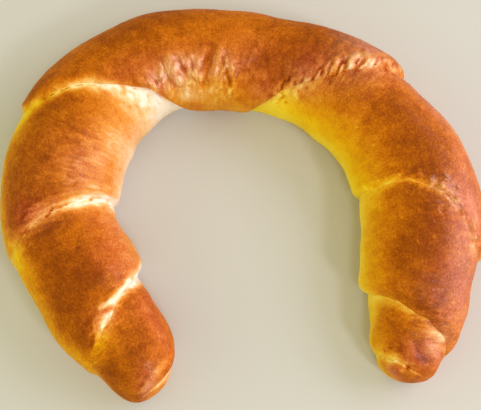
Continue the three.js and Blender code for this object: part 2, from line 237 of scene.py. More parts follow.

# Folds and ridges: height, half width, change of bake, and the line each runs along as lengths and places
# Their change of bake darkens most grooves and pales most ridges: partly the crust's own colour, partly
# painted shade and painted highlight
FOLDS = [
    (-1.3, 1.3, 0.12, [(-0.7, 0.47), (-2.1, 0.39), (-3.0, 0.30), (-3.0, 0.22)]),
    (-0.8, 0.6, 0.08, [(3.4, 0.40), (5.2, 0.315), (7.2, 0.22)]),
    (-0.7, 0.6, 0.08, [(-12.2, 0.40), (-9.1, 0.27)]),
    (-0.5, 0.5, 0.08, [(-8.0, 0.39), (-6.8, 0.31)]),
    (-0.25, 0.6, 0.08, [(-26.0, 0.36), (-22.5, 0.26)]),
    (-0.3, 0.7, 0.06, [(-18.6, 0.38), (-16.8, 0.25)]),
    (0.7, 2.0, -0.16, [(-15.4, 0.41), (-14.4, 0.35), (-12.6, 0.27)]),
    (0.3, 0.8, -0.14, [(-10.3, 0.39), (-9.0, 0.30)]),
    (0.6, 1.7, -0.16, [(-5.8, 0.40), (-5.6, 0.34), (-4.6, 0.27)]),
    (0.5, 0.9, -0.12, [(-1.7, 0.46), (-3.6, 0.40)]),
    (0.6, 1.4, -0.14, [(2.6, 0.445), (1.2, 0.365), (0.6, 0.29)]),
    (0.5, 1.0, -0.14, [(7.2, 0.38), (8.2, 0.24)]),
    (0.3, 0.6, -0.05, [(14.6, 0.47), (13.2, 0.42)]),
    (0.3, 0.6, -0.05, [(13.0, 0.40), (12.2, 0.36)]),
    (0.25, 0.5, -0.05, [(20.4, 0.57), (19.0, 0.52)]),
    (0.2, 2.6, -0.12, [(32.0, 0.36), (36.0, 0.43), (41.5, 0.53), (46.5, 0.63), (51.5, 0.74), (54.0, 0.92)]),
    (-0.4, 0.35, 0.35, [(28.6, 0.20), (27.6, 0.16), (26.9, 0.125)]),
    (-0.5, 0.3, 0.5, [(-91.2, 0.515), (-90.4, 0.498)]),
    (-0.5, 0.3, 0.5, [(-89.9, 0.492), (-89.3, 0.478)]),
    (0.5, 0.7, -0.38, [(-125.4, 0.36), (-125.5, 0.41), (-125.4, 0.48)]),
    (0.2, 1.1, -0.45, [(-122.8, 0.24), (-124.4, 0.33), (-125.8, 0.39)]),
    (-0.5, 0.6, 0.12, [(-127.4, 0.42), (-127.6, 0.48)]),
    (-0.35, 1.3, 0.16, [(142.9, 0.478), (145.5, 0.509), (148.0, 0.59)]),
    (0.55, 1.4, -0.04, [(141.0, 0.545), (144.5, 0.616)]),
    (-0.4, 0.7, 0.06, [(133.4, 0.62), (135.4, 0.635)]),
    (0.6, 1.7, -0.26, [(-146.6, 0.22), (-148.4, 0.30), (-150.8, 0.36), (-154.0, 0.42)]),
    (-0.35, 0.7, 0.12, [(-147.6, 0.33), (-150.6, 0.40), (-153.0, 0.46)]),
]

# Groups of fine ridges that run nearly round the roll: how many, lengths and places they lie between,
# reach round the roll, slant in mm, height, half width, change of bake
# Their change of bake mostly pales the ridges, partly as a painted highlight
RIDGE_GROUPS = [
    {"count": 42, "lengths": (-27.0, 10.0), "places": (0.20, 0.42), "reach": (0.04, 0.10),
     "slant": (-2.5, 1.0), "height": (0.18, 0.45), "half_width": (0.40, 0.65), "bake": (-0.14, 0.0)},
    {"count": 14, "lengths": (10.0, 34.0), "places": (0.30, 0.55), "reach": (0.03, 0.07),
     "slant": (0.0, 2.0), "height": (0.12, 0.30), "half_width": (0.5, 0.7), "bake": (-0.12, 0.02)},
    {"count": 34, "lengths": (-86.0, -54.0), "places": (0.24, 0.56), "reach": (0.05, 0.12),
     "slant": (-1.5, 1.5), "height": (0.10, 0.26), "half_width": (0.45, 0.7), "bake": (-0.12, 0.02)},
    {"count": 14, "lengths": (19.0, 33.0), "places": (0.18, 0.36), "reach": (0.03, 0.06),
     "slant": (1.0, 3.0), "height": (0.12, 0.35), "half_width": (0.5, 0.8), "bake": (-0.10, 0.14)},
    {"count": 12, "lengths": (-131.5, -127.0), "places": (0.42, 0.60), "reach": (0.04, 0.08),
     "slant": (1.5, 4.0), "height": (0.10, 0.35), "half_width": (0.35, 0.6), "bake": (-0.30, 0.05)},
    {"count": 26, "lengths": (-44.0, -24.0), "places": (0.30, 0.56), "reach": (0.02, 0.05),
     "slant": (-1.5, 1.0), "height": (0.10, 0.30), "half_width": (0.40, 0.6), "bake": (-0.12, 0.06)},
]
RIDGE_SEED = 32

# Where the crust is drawn into fine wrinkles:
# length and reach along the roll, place and reach round it, height
WRINKLED = [
    (-13.0, 10.0, 0.31, 0.12, 0.42),
    (-24.0, 8.0, 0.28, 0.12, 0.10),
    (8.0, 16.0, 0.32, 0.18, 0.14),
    (-72.0, 18.0, 0.30, 0.22, 0.14),
    (-100.0, 16.0, 0.35, 0.25, 0.08),
]
WRINKLES_ELSEWHERE = 0.06
PUFFS = (3.0, 17, 43)  # between the wrinkles: size along the roll, how many round it, seed
PUFF_EDGE = 0.55
PUFF_HEIGHT = 1.1
PUFF_MIDDLE = 0.6  # share of a puff's height that counts as level

# Where the crust shines most, in the same way; 1 is a full glaze
SHINY = [
    (-14.5, 6.0, 0.34, 0.10, 1.00),
    (-5.0, 4.0, 0.35, 0.10, 0.90),
    (4.5, 5.0, 0.36, 0.11, 0.85),
    (14.0, 6.0, 0.42, 0.10, 0.35),
    (-24.0, 7.0, 0.30, 0.09, 0.80),
    (-6.0, 9.0, 0.20, 0.10, 0.50),
    (46.0, 11.0, 0.62, 0.24, 0.80),
    (32.0, 8.0, 0.38, 0.12, 0.50),
    (-92.0, 6.0, 0.52, 0.16, 0.45),
    (-119.0, 5.0, 0.36, 0.10, 0.45),
    (97.0, 8.0, 0.60, 0.12, 0.70),
    (-74.0, 13.0, 0.38, 0.13, 0.55),
]
SHINE_ELSEWHERE = 0.05
GROOVES_DULL = 1.2  # how much less each mm of depth shines
SHINE_RELIEF = 0.8  # mm of fine relief, up or down, that change the shine

# Where it has a finer, satin sheen, in the same way
SATIN = [
    (122.0, 18.0, 0.70, 0.14, 1.00),
    (72.0, 22.0, 0.82, 0.16, 0.50),
    (100.0, 10.0, 0.76, 0.12, 0.35),
    (143.5, 5.0, 0.62, 0.14, 1.00),
    (-72.0, 18.0, 0.32, 0.20, 0.30),
    (-152.0, 4.5, 0.35, 0.08, 0.80),
]

# Where it is drawn into fine strokes away from the seams, in the same way
STROKED = [
    (-4.0, 18.0, 0.20, 0.12, 0.50),
    (-72.0, 16.0, 0.33, 0.20, 0.40),
]

# Short pleats that run back from a lip at right angles to it: lap and seam, places round the roll
# where they start and end, slant of the seam in degrees, pitch, depth, length
LIP_PLEATS = [
    {"lap": 4, "seam": 4, "places": (0.24, 0.76), "slant": 84, "pitch": 0.7, "depth": 0.95, "length": 5.0},
    {"lap": 3, "seam": 2, "places": (0.38, 0.72), "slant": 78, "pitch": 0.9, "depth": 0.50, "length": 5.0},
    {"lap": 2, "seam": 1, "places": (0.30, 0.65), "slant": 69, "pitch": 1.0, "depth": 0.45, "length": 3.5},
    {"lap": 4, "seam": 3, "places": (0.10, 0.40), "slant": 84, "pitch": 1.2, "depth": 0.20, "length": 4.0},
    {"lap": 7, "seam": 6, "places": (0.42, 0.80), "slant": 90, "pitch": 0.8, "depth": 0.45, "length": 5.0},
]
PLEATS_DEEPEST = 1.5  # mm back from the lip
PLEATS_FADE = 0.08  # half turns over which a row of pleats fades at each end
PLEATS_DRIFT = 0.05  # how fast a pleat changes back from the lip, in half turns a mm
PLEATS_ROUND = 14  # random values round the roll
PLEAT_SEED = 50

# Soft bulges and hollows: length and reach along the roll, place and reach round it, height
BULGES = [
    (64.5, 8.0, 0.86, 0.20, -1.9),
    (-32.0, 8.0, 0.88, 0.20, 0.4),
    (-84.0, 16.0, 0.80, 0.20, -0.8),
    (20.0, 7.0, 0.95, 0.20, -0.3),
    (40.0, 9.0, 0.88, 0.20, 0.5),
    (148.5, 5.0, 0.92, 0.20, -0.8),
    (132.5, 5.0, 0.08, 0.18, -1.6),
    (145.5, 5.0, 0.08, 0.18, 1.2),
    (120.5, 8.0, 0.85, 0.22, -1.2),
    (-152.0, 4.0, 0.08, 0.16, 0.8),
    (3.0, 11.0, 0.03, 0.14, -0.4),
    (-66.0, 12.0, 0.05, 0.16, 0.5),
]

# Slow unevenness of the risen dough: height, length of one wave along the roll, waves round it, phase
WAVES = [
    (0.22, 41.0, 1, 0.6),
    (0.20, 27.0, -1, 2.1),
    (0.15, 17.0, 2, 4.0),
]

# Random unevenness: height, size along the roll, how many round it, seed
LUMPS = [
    (0.20, 13.0, 9, 60),
    (0.09, 6.0, 19, 61),
    (0.045, 2.6, 44, 62),
]
BAKE_NOISE = [
    (0.06, 14.0, 9, 11),
    (0.05, 6.0, 18, 12),
]
PALE_NOISE = [
    (0.35, 4.0, 26, 16),
    (0.3, 1.7, 40, 13),
    (0.2, 0.9, 80, 14),
]
RUDDY_AND_SHEEN_NOISE = [(0.5, 5.0, 22, 17)]
CRACK_NOISE = [(1.0, 1.6, 100, 15)]
SEAM_WOBBLE = [(0.6, 10.0, 30, 21)]
FOLD_WANDER = [(0.35, 2.5, 40, 31)]
WRINKLES_BEND_ALONG = [(1.6, 6.0, 20, 41)]
WRINKLES_BEND_ROUND = [(0.07, 5.0, 24, 42)]
FINE_WRINKLES = [(0.6, 1.4, 40, 44)]

# Single bumps and pits: length, place, radius, height, change of bake
# The change of bake darkens most pits as painted shade and pales most bumps, partly as a painted highlight
SPOTS = [
    (-58.8, 0.87, 1.3, 0.9, 0.10),
    (-105.0, 0.428, 0.45, -0.4, 0.40),
    (-14.4, 0.345, 3.2, 0.6, -0.04),
    (-10.0, 0.385, 1.2, 0.35, -0.04),
    (-19.9, 0.303, 1.4, 0.4, -0.10),
    (151.2, 0.466, 0.8, -1.5, 0.30),
    (146.5, 0.68, 2.0, 0.5, -0.05),
    (146.1, 0.284, 0.6, -0.3, 0.20),
    (146.2, 0.353, 0.6, -0.3, 0.16),
    (153.3, 0.30, 1.6, 0.5, 0.14),
    (145.5, 0.384, 1.8, 0.0, 0.12),
    (147.2, 0.578, 1.8, -0.1, 0.10),
    (143.4, 0.52, 1.6, 0.0, 0.10),
    (149.8, 0.47, 1.8, 0.0, -0.25),
    (148.6, 0.309, 2.0, 0.0, -0.28),
    (152.6, 0.40, 0.8, 0.3, -0.25),
    (88.3, 0.98, 0.6, -0.4, 0.35),
    (90.0, 0.97, 0.6, -0.4, 0.30),
    (30.6, 0.16, 0.5, -0.4, 0.35),
    (35.3, 0.325, 0.7, -0.3, 0.30),
    (100.1, 0.503, 0.5, -0.3, 0.05),
    (101.9, 0.547, 0.5, -0.3, 0.05),
    (94.2, 0.55, 1.0, 0.9, -0.16),
    (92.0, 0.585, 0.9, 0.8, -0.16),
    (94.8, 0.653, 0.9, 0.8, -0.14),
    (98.7, 0.628, 1.0, 0.9, -0.16),
    (104.2, 0.735, 1.0, 1.0, -0.16),
    (-149.8, 0.40, 0.5, -0.25, 0.22),
    (-152.0, 0.425, 0.6, -0.25, 0.24),
    (-151.0, 0.36, 0.4, -0.2, 0.18),
    (-153.2, 0.40, 0.4, -0.2, 0.18),
    (-87.3, 0.259, 0.5, -0.2, 0.35),
    (-88.9, 0.409, 0.5, -0.2, 0.30),
]

# Groups of small spots along a seam:
# seam, how many, places, mm past the seam, radius, height, change of bake
# Their change of bake darkens pits as painted shade and pales bumps, partly as a painted highlight
SPOT_GROUPS = [
    {"seam": 4, "count": 10, "places": (0.50, 0.98), "past": (-1.5, 0.8), "radius": (0.22, 0.40),
     "height": (-0.5, -0.2), "bake": (0.2, 0.5)},
    {"seam": 5, "count": 12, "places": (0.12, 0.50), "past": (-3.0, 1.5), "radius": (0.4, 0.8),
     "height": (0.1, 0.25), "bake": (-0.18, -0.02)},
    {"seam": 5, "count": 30, "places": (0.46, 0.78), "past": (-3.5, 2.5), "radius": (0.5, 1.1),
     "height": (0.2, 0.6), "bake": (-0.18, 0.02)},
    {"seam": 5, "count": 26, "places": (0.46, 0.78), "past": (-3.5, 2.5), "radius": (0.35, 0.6),
     "height": (-0.5, -0.1), "bake": (0.0, 0.05)},
    {"seam": 7, "count": 10, "places": (0.15, 0.60), "past": (-3.0, 1.0), "radius": (0.3, 0.7),
     "height": (-0.5, -0.1), "bake": (-0.1, 0.25)},
    # painted glints: small pale specks over the right arm
    {"seam": 5, "count": 26, "places": (0.30, 0.80), "past": (-28.0, 32.0), "radius": (0.30, 0.45),
     "height": (0.15, 0.35), "bake": (-0.30, -0.10)},
]
SPOT_SEED = 71

# Fineness of the skin: spans round the roll, rows near seams and ends, mm between the other rows
SPANS_OVER = 112
SPANS_BELOW_FLANK = 11
SPANS_UNDER = 10
LIP_ROWS = 13
CREASE_ROWS = 9
END_ROWS = 18
ROW_LENGTH = 0.74
CROWN_ROW_LENGTH = 0.50
LEAST_ROWS = 3  # in the middle of a lap
STEPS_PER_STATION = 60


def mix(a, b, share):
    return a + (b - a) * share


def smooth(share):
    return share * share * (3 - 2 * share)


def rise(low, high, value):
    """0 below low, 1 above high, smooth between."""
    return smooth(np.clip((value - low) / (high - low), 0, 1))


def hill(value, reach):
    """1 at 0, falling smoothly to nearly nothing at twice the reach."""
    return np.exp(-(value / reach) ** 2)


def through(values, t):
    """Smooth curve through evenly spaced values; t counts values from 0."""
    values = np.asarray(values, float)
    ends = np.concatenate([[2 * values[0] - values[1]], values, [2 * values[-1] - values[-2]]])
    i = np.clip(np.floor(t).astype(int), 0, len(values) - 2)
    f = t - i
    a, b, c, d = ends[i], ends[i + 1], ends[i + 2], ends[i + 3]
    return b + 0.5 * f * (c - a + (2 * a - 5 * b + 4 * c - d) * f + (3 * b - a - 3 * c + d) * f * f)


def over_the_roll(values, place):
    """Value at a place round the roll, from values spaced evenly from the inner to the outer flank."""
    return through(values, np.clip(place, 0, 1) * (len(values) - 1))


# The roll's middle line, sampled finely

def sample_spine():
    t = np.linspace(0, len(STATIONS) - 1, (len(STATIONS) - 1) * STEPS_PER_STATION + 1)
    x, y, half_width, height = (through(STATIONS[:, k], t) for k in range(4))
    length = np.concatenate([[0], np.cumsum(np.hypot(np.diff(x), np.diff(y)))])
    length -= length[CROWN_STATION * STEPS_PER_STATION]
    run_x, run_y = np.gradient(x), np.gradient(y)
    run = np.hypot(run_x, run_y)
    return {"length": length, "x": x, "y": y, "half_width": half_width, "height": height,
            "out_x": -run_y / run, "out_y": run_x / run}


SPINE = sample_spine()
LEFT_TIP = SPINE["length"][0]
RIGHT_TIP = SPINE["length"][-1]


def spine_at(length, name):
    return np.interp(length, SPINE["length"], SPINE[name])


def noise(length, place, along, around, seed):
    """Smooth random values from -1 to 1, a new one every `along` mm, with `around` of them round the roll."""
    draw = np.random.default_rng(seed)
    count = int((RIGHT_TIP - LEFT_TIP) / along) + 4
    values = draw.uniform(-1, 1, (count, around))
    u = np.clip((length - LEFT_TIP) / along + 1, 0, count - 2)
    v = np.mod(place / 2, 1) * around
    i = np.floor(u).astype(int)
    j = np.floor(v).astype(int)
    f, g = smooth(u - i), smooth(v - j)
    j, k = j % around, (j + 1) % around
    return mix(mix(values[i, j], values[i + 1, j], f), mix(values[i, k], values[i + 1, k], f), g)


def layers(length, place, rows):
    """Sum of random values from rows of height, size along the roll, how many round it, and seed."""
    return sum(height * noise(length, place, along, around, seed) for height, along, around, seed in rows)


def cells(length, place, along, around, seed):
    """Random cells of about `along` mm, `around` of them round the roll: 0 at their edges, rising inwards."""
    draw = np.random.default_rng(seed)
    count = int((RIGHT_TIP - LEFT_TIP) / along) + 4
    middles = draw.uniform(0, 1, (count, around, 2))
    u = np.clip((length - LEFT_TIP) / along + 1, 1, count - 2.01)  # keeps a neighbour on both sides
    v = np.mod(place / 2, 1) * around
    i = np.floor(u).astype(int)
    j = np.floor(v).astype(int)
    nearest = np.full(u.shape, np.inf)
    second = np.full(u.shape, np.inf)
    for row in (i - 1, i, i + 1):
        for column in (j - 1, j, j + 1):
            middle = middles[row, column % around]
            distance = np.hypot(row + middle[..., 0] - u, column + middle[..., 1] - v)
            second = np.minimum(second, np.maximum(nearest, distance))
            nearest = np.minimum(nearest, distance)
    return second - nearest


def random_values(draw, group, *names):
    """One random value from each of a group's named ranges, drawn in that order."""
    return [draw.uniform(*group[name]) for name in names]


# Seams

def seam_crossing(seam, place):
    """Length along the roll where a seam passes a place round it; under the roll it swings back."""
    crossings = seam["crossings"]
    inner, shoulder, ridge, far_shoulder, outer = crossings
    spans = len(crossings) - 1
    inner_slant = (shoulder - inner) * spans
    outer_slant = (outer - far_shoulder) * spans
    over = over_the_roll(crossings, place)
    over = over + np.clip(place, -SEAM_BELOW_FLANK, 0) * inner_slant + np.maximum(place - 1, 0) * outer_slant
    over = over + layers(np.full_like(place, ridge), place, SEAM_WOBBLE)
    back = np.clip((place - 1 - SEAM_BELOW_FLANK) / (1 - 2 * SEAM_BELOW_FLANK), 0, 1)
    inner_end = inner - SEAM_BELOW_FLANK * inner_slant
    outer_end = outer + SEAM_BELOW_FLANK * outer_slant
    return np.where(back > 0, mix(outer_end, inner_end, smooth(back)), over)


def seam_step(seam, place):
    below = np.maximum(np.maximum(-place, place - 1), 0)
    share = np.clip(1 - below / SEAM_FADES_BELOW, 0, 1)
    return over_the_roll(seam["steps"], place) * smooth(share)


def lip_relief(step, soft, distance):
    swell = 0.5 * step * np.exp(-distance / LAP_SWELL)
    floor = -0.5 * step - (1 - soft) * np.minimum(CREASE_DEPTH, step)
    over = np.clip(1 - distance / LIP_LENGTH, 0, 1)
    return mix(floor, swell, mix(np.sqrt(1 - over * over), 1 - smooth(over), soft))


def crease_relief(step, soft, distance):
    pinch = -0.5 * step * np.exp(-distance / LAP_SWELL)
    return pinch - (1 - soft) * np.minimum(CREASE_DEPTH, step) * np.exp(-distance / CREASE_LENGTH)


def lap_sides(index):
    """The seams beside a lap: which seam, the grid's distance to it, and whether the lap's lip lies there."""
    sides = ((index - 1, "from_left", index <= CROWN_LAP), (index, "to_right", index >= CROWN_LAP))
    return [side for side in sides if 0 <= side[0] < len(SEAMS)]


# The skin's grid: rows along the roll that keep to the seams, columns round it

def places_round():
    stretches = [(-BASE_EDGE, 0, SPANS_BELOW_FLANK), (0, 1, SPANS_OVER),
                 (1, 1 + BASE_EDGE, SPANS_BELOW_FLANK), (1 + BASE_EDGE, 2 - BASE_EDGE, SPANS_UNDER)]
    return np.concatenate([np.linspace(first, last, spans + 1)[:-1] for first, last, spans in stretches])


def near_distances(rows, reach):
    turn = 1 - np.cos(0.5 * np.pi * np.arange(rows) / rows)
    return turn[:, None] * reach[None, :]


def lap_rows(index, place):
    """Rows of one lap: the length along the roll at each place, and the distance to the lap's two seams."""
    left_seam = SEAMS[index - 1] if index > 0 else None
    right_seam = SEAMS[index] if index < len(SEAMS) else None
    start = seam_crossing(left_seam, place) if left_seam else np.full_like(place, LEFT_TIP)
    end = seam_crossing(right_seam, place) if right_seam else np.full_like(place, RIGHT_TIP)
    lap_length = end - start
    share = np.clip(lap_length / SHORT_LAP, LEAST_SHARE, 1)

    def close_rows(seam, is_lip, end_length):
        if seam is None:
            reach = np.minimum(end_length, END_OF_LAP * lap_length)
            return near_distances(END_ROWS, reach), reach
        reach = share * (LIP_LENGTH if is_lip else CREASE_REACH)
        return near_distances(LIP_ROWS if is_lip else CREASE_ROWS, reach), reach

    left_rows, left_reach = close_rows(left_seam, index <= CROWN_LAP, LEFT_END)
    right_rows, right_reach = close_rows(right_seam, index >= CROWN_LAP, RIGHT_END)
    row_length = CROWN_ROW_LENGTH if index == CROWN_LAP else ROW_LENGTH
    middle = max(LEAST_ROWS, round(float(lap_length.mean()) / row_length))
    steps = np.linspace(0, 1, middle + 1)[:, None]
    between = mix((start + left_reach)[None, :], (end - right_reach)[None, :], steps)
    length = np.concatenate([start + left_rows, between, end - right_rows[::-1]])
    if right_seam:
        length = length[:-1]  # the seam's own row belongs to the next lap
    return {"lap": np.full(length.shape, index), "length": length,
            "from_left": (length - start) / share, "to_right": (end - length) / share}


def skin_grid():
    place = places_round()
    laps = [lap_rows(index, place) for index in range(len(LAPS))]
    grid = {name: np.concatenate([lap[name] for lap in laps]) for name in laps[0]}
    grid["place"] = np.array(np.broadcast_to(place, grid["length"].shape))
    return grid


def end_share(length):
    left = np.clip((length - LEFT_TIP) / LEFT_END, 0, 1)
    right = np.clip((RIGHT_TIP - length) / RIGHT_END, 0, 1)
    inset = 1 - np.minimum(left, right)
    return np.sqrt(np.maximum(1 - inset * inset, 0))


def skin_points(grid, relief):
    """Points of the skin, and the same points on the roll as it was before it was bent."""
    length, place = grid["length"], grid["place"]
    half_width = spine_at(length, "half_width")
    height = spine_at(length, "height")
    cos, sin = np.cos(np.pi * place), np.sin(np.pi * place)
    power = 2 / np.where(sin >= 0, UPPER_POWER, LOWER_POWER)
    across = -np.sign(cos) * np.abs(cos) ** power
    up = np.sign(sin) * np.abs(sin) ** power
    middle = WIDEST_AT * height
    reach = np.where(sin >= 0, height - middle, middle + PRESSED_FLAT * height)
    slope_across, slope_up = across / half_width, up / reach
    slope = np.hypot(slope_across, slope_up)
    share = end_share(length)
    out = (half_width * across + relief * slope_across / slope) * share
    z = mix(middle, np.maximum(middle + reach * up + relief * slope_up / slope, 0), share)
    x = spine_at(length, "x") + out * spine_at(length, "out_x")
    y = spine_at(length, "y") + out * spine_at(length, "out_y")
    return np.stack([x, y, z], -1), np.stack([length, out, z], -1)


# Relief of the skin

def seam_relief(grid):
    """Steps, lips and creases of all seams."""
    relief = np.zeros(grid["length"].shape)
    for index in range(len(LAPS)):
        rows = grid["lap"] == index
        for seam_index, side, is_lip in lap_sides(index):
            step = seam_step(SEAMS[seam_index], grid["place"][rows])
            soft = np.clip(over_the_roll(SEAMS[seam_index]["soft"], grid["place"][rows]), 0, 1)
            shape = lip_relief if is_lip else crease_relief
            relief[rows] += shape(step, soft, grid[side][rows])
    return relief


def skin_point(grid, points, length, place):
    miss = (grid["length"] - length) ** 2 + ((grid["place"] - place) * HALF_TURN) ** 2
    return points[np.unravel_index(np.argmin(miss), miss.shape)]


def distance_to_line(points, line):
    """Distance of every skin point from a line through some points."""
    nearest = np.full(points.shape[:2], np.inf)
    for start, end in zip(line, line[1:]):
        run = end - start
        share = np.clip((points - start) @ run / (run @ run), 0, 1)
        nearest = np.minimum(nearest, np.linalg.norm(points - start - share[..., None] * run, axis=-1))
    return nearest


def all_folds():
    folds = list(FOLDS)
    draw = np.random.default_rng(RIDGE_SEED)
    for group in RIDGE_GROUPS:
        for _ in range(group["count"]):
            length, place, reach, slant = random_values(draw, group, "lengths", "places", "reach", "slant")
            line = [(length, place), (length + slant, place - reach)]
            folds.append((*random_values(draw, group, "height", "half_width", "bake"), line))
    return folds


def fold_fields(grid, points):
    """Relief and change of bake of the folds and ridges, which wander a little from their lines; the change
    of bake is partly the crust's own colour, partly painted shade in grooves and painted highlight on ridges.
    """
    relief = np.zeros(grid["length"].shape)
    bake = np.zeros(grid["length"].shape)
    wander = layers(grid["length"], grid["place"], FOLD_WANDER)
    for height, half_width, change, line in all_folds():
        stops = [skin_point(grid, points, length, place) for length, place in line]
        here = hill(distance_to_line(points, stops) + wander, half_width)
        relief += height * here
        bake += change * here
    return relief, bake


def patches_of(grid, elsewhere, patches):
    """Values over the skin from soft patches: length and reach along it, place and reach round it, value."""
    values = np.full(grid["length"].shape, float(elsewhere))
    for length, along, place, around, most in patches:
        values += most * hill(grid["length"] - length, along) * hill(grid["place"] - place, around)
    return values


def wrinkles(grid):
    """Fine wrinkles across the roll, about -1 to 1."""
    length = grid["length"] + layers(grid["length"], grid["place"], WRINKLES_BEND_ALONG)
    place = grid["place"] + layers(grid["length"], grid["place"], WRINKLES_BEND_ROUND)
    puffs = rise(0, PUFF_EDGE, cells(length, place, *PUFFS))
    return PUFF_HEIGHT * (puffs - PUFF_MIDDLE) + layers(length, place, FINE_WRINKLES)


def pleats(grid):
    """Relief of the pleats at the lips."""
    total = np.zeros(grid["length"].shape)
    for number, row in enumerate(LIP_PLEATS):
        rows = grid["lap"] == row["lap"]
        length, place = grid["length"][rows], grid["place"][rows]
        side = next(side for seam, side, _ in lap_sides(row["lap"]) if seam == row["seam"])
        distance = grid[side][rows]
        slant = math.radians(row["slant"])
        along_lip = length * math.sin(slant) + place * HALF_TURN * math.cos(slant)
        back = PLEATS_DRIFT * distance + place
        strokes = noise(along_lip, back, row["pitch"], PLEATS_ROUND, PLEAT_SEED + number)
        first, last = row["places"]
        window = rise(first - PLEATS_FADE, first + PLEATS_FADE, place)
        window = window * (1 - rise(last - PLEATS_FADE, last + PLEATS_FADE, place))
        total[rows] += row["depth"] * window * hill(distance - PLEATS_DEEPEST, row["length"]) * strokes
    return total


def uneven_relief(grid):
    length, place = grid["length"], grid["place"]
    total = patches_of(grid, 0, BULGES)
    for height, wave_length, turns, phase in WAVES:
        total += height * np.sin(2 * np.pi * length / wave_length + np.pi * turns * place + phase)
    return total + layers(length, place, LUMPS)


def all_spots():
    spots = list(SPOTS)
    draw = np.random.default_rng(SPOT_SEED)
    names = ("places", "past", "radius", "height", "bake")
    for group in SPOT_GROUPS:
        for _ in range(group["count"]):
            place, past, radius, height, change = random_values(draw, group, *names)
            crossing = float(seam_crossing(SEAMS[group["seam"]], np.array(place)))
            spots.append((crossing + past, place, radius, height, change))
    return spots


def spot_fields(grid, points):
    """Relief and change of bake of the single bumps and pits; the change of bake is partly the crust's own
    colour, partly painted shade in pits and painted highlight on bumps.
    """
    relief = np.zeros(grid["length"].shape)
    bake = np.zeros(grid["length"].shape)
    for length, place, radius, height, change in all_spots():
        middle = skin_point(grid, points, length, place)
        here = hill(np.linalg.norm(points - middle, axis=-1), radius)
        relief += height * here
        bake += change * here
    return relief, bake


# How brown the crust is, and how yellow its pale parts are

def by_lap(grid, name):
    values = np.zeros(grid["length"].shape)
    for index, lap in enumerate(LAPS):
        rows = grid["lap"] == index
        values[rows] = over_the_roll(lap[name], grid["place"][rows])
    return values


def near_seams(grid, value_of):
    """The greatest of the values that the seams beside each point give it."""
    values = np.zeros(grid["length"].shape)
    for index in range(len(LAPS)):
        rows = grid["lap"] == index
        for seam_index, side, is_lip in lap_sides(index):
            here = value_of(SEAMS[seam_index], grid["place"][rows], grid[side][rows], is_lip)
            values[rows] = np.maximum(values[rows], here)
    return values


def pale_at(seam, place, distance, is_lip):
    if is_lip:
        edge = np.maximum(over_the_roll(seam["edge"], place), 0)
        return edge * hill(distance, EDGE_REACH * (0.5 + edge))
    return over_the_roll(seam["pale"], place) * hill(distance, over_the_roll(seam["reach"], place))


def strokes_at(seam, place, distance, is_lip):
    return over_the_roll(seam["strokes"], place) * hill(distance, STROKES_REACH)


def crack_at(seam, place, distance, is_lip):
    if is_lip:
        return np.zeros(place.shape)
    return over_the_roll(seam["cracks"], place) * hill(distance - CRACKS_PAST, CRACK_HALF_WIDTH)


def cracks(grid):
    """Short tears in the seams, darkened as painted shade."""
    torn = rise(CRACK_STARTS, CRACK_FULL, layers(grid["length"], grid["place"], CRACK_NOISE))
    return np.clip(near_seams(grid, crack_at), 0, 1) * torn


def pale_rims_and_glow(grid):
    start, most = np.array([lap["pale_rim_and_glow"] for lap in LAPS])[grid["lap"]].transpose(2, 0, 1)
    return most * rise(0, RIM_WIDTH, grid["place"] - start)


def bake_field(grid):
    length, place = grid["length"], grid["place"]
    patches = layers(length, place, BAKE_NOISE) + patches_of(grid, 0, BAKE_PATCHES)
    ragged = 1 + layers(length, place, PALE_NOISE)
    pale = np.clip(near_seams(grid, pale_at) * ragged, 0, 1)
    # the rims are partly pale dough and partly a painted glow along the outline
    bake = mix(by_lap(grid, "bake") + patches, RIM_BAKE_AND_GLOW, pale_rims_and_glow(grid)) * (1 - pale)
    base = rise(*BASE_STARTS, place) * (1 - rise(*BASE_ENDS, place))
    return mix(bake, BASE_BAKE + patches, base)


# Mesh of the skin

def by_vertex(values):
    """Values of the skin's grid in the order of the mesh's vertices: all rings, then the two tips."""
    rings = values[1:-1]
    return np.concatenate([rings.reshape((-1,) + values.shape[2:]), values[:1, 0], values[-1:, 0]])


def make_mesh(name, points):
    """Closed mesh from rings of points whose first and last ring are single points."""
    count, around = len(points) - 2, points.shape[1]
    column = np.arange(around)
    after = (column + 1) % around
    starts = around * np.arange(count - 1)[:, None]
    here, there = starts + column, starts + after
    quads = np.stack([here, here + around, there + around, there], -1).reshape(-1, 4)
    left_pole, right_pole = count * around, count * around + 1
    last = (count - 1) * around
    fans = [(left_pole, a, b) for a, b in zip(column.tolist(), after.tolist())]
    fans += [(right_pole, last + b, last + a) for a, b in zip(column.tolist(), after.tolist())]
    mesh = bpy.data.meshes.new(name)
    mesh.from_pydata(by_vertex(points).tolist(), [], quads.tolist() + fans)
    mesh.shade_smooth()
    return mesh


def store(mesh, name, values):
    """Keeps one number or one vector per point of the skin, for the material."""
    kind, field = ("FLOAT", "value") if values.ndim == 2 else ("FLOAT_VECTOR", "vector")
    layer = mesh.attributes.new(name, kind, "POINT")
    layer.data.foreach_set(field, by_vertex(values.astype(np.float32)).ravel())


# Crust material

def srgb(red, green, blue):
    """Linear colour from 0 to 255 screen values."""
    def linear(value):
        value /= 255
        return value / 12.92 if value <= 0.04045 else ((value + 0.055) / 1.055) ** 2.4
    return (linear(red), linear(green), linear(blue), 1.0)


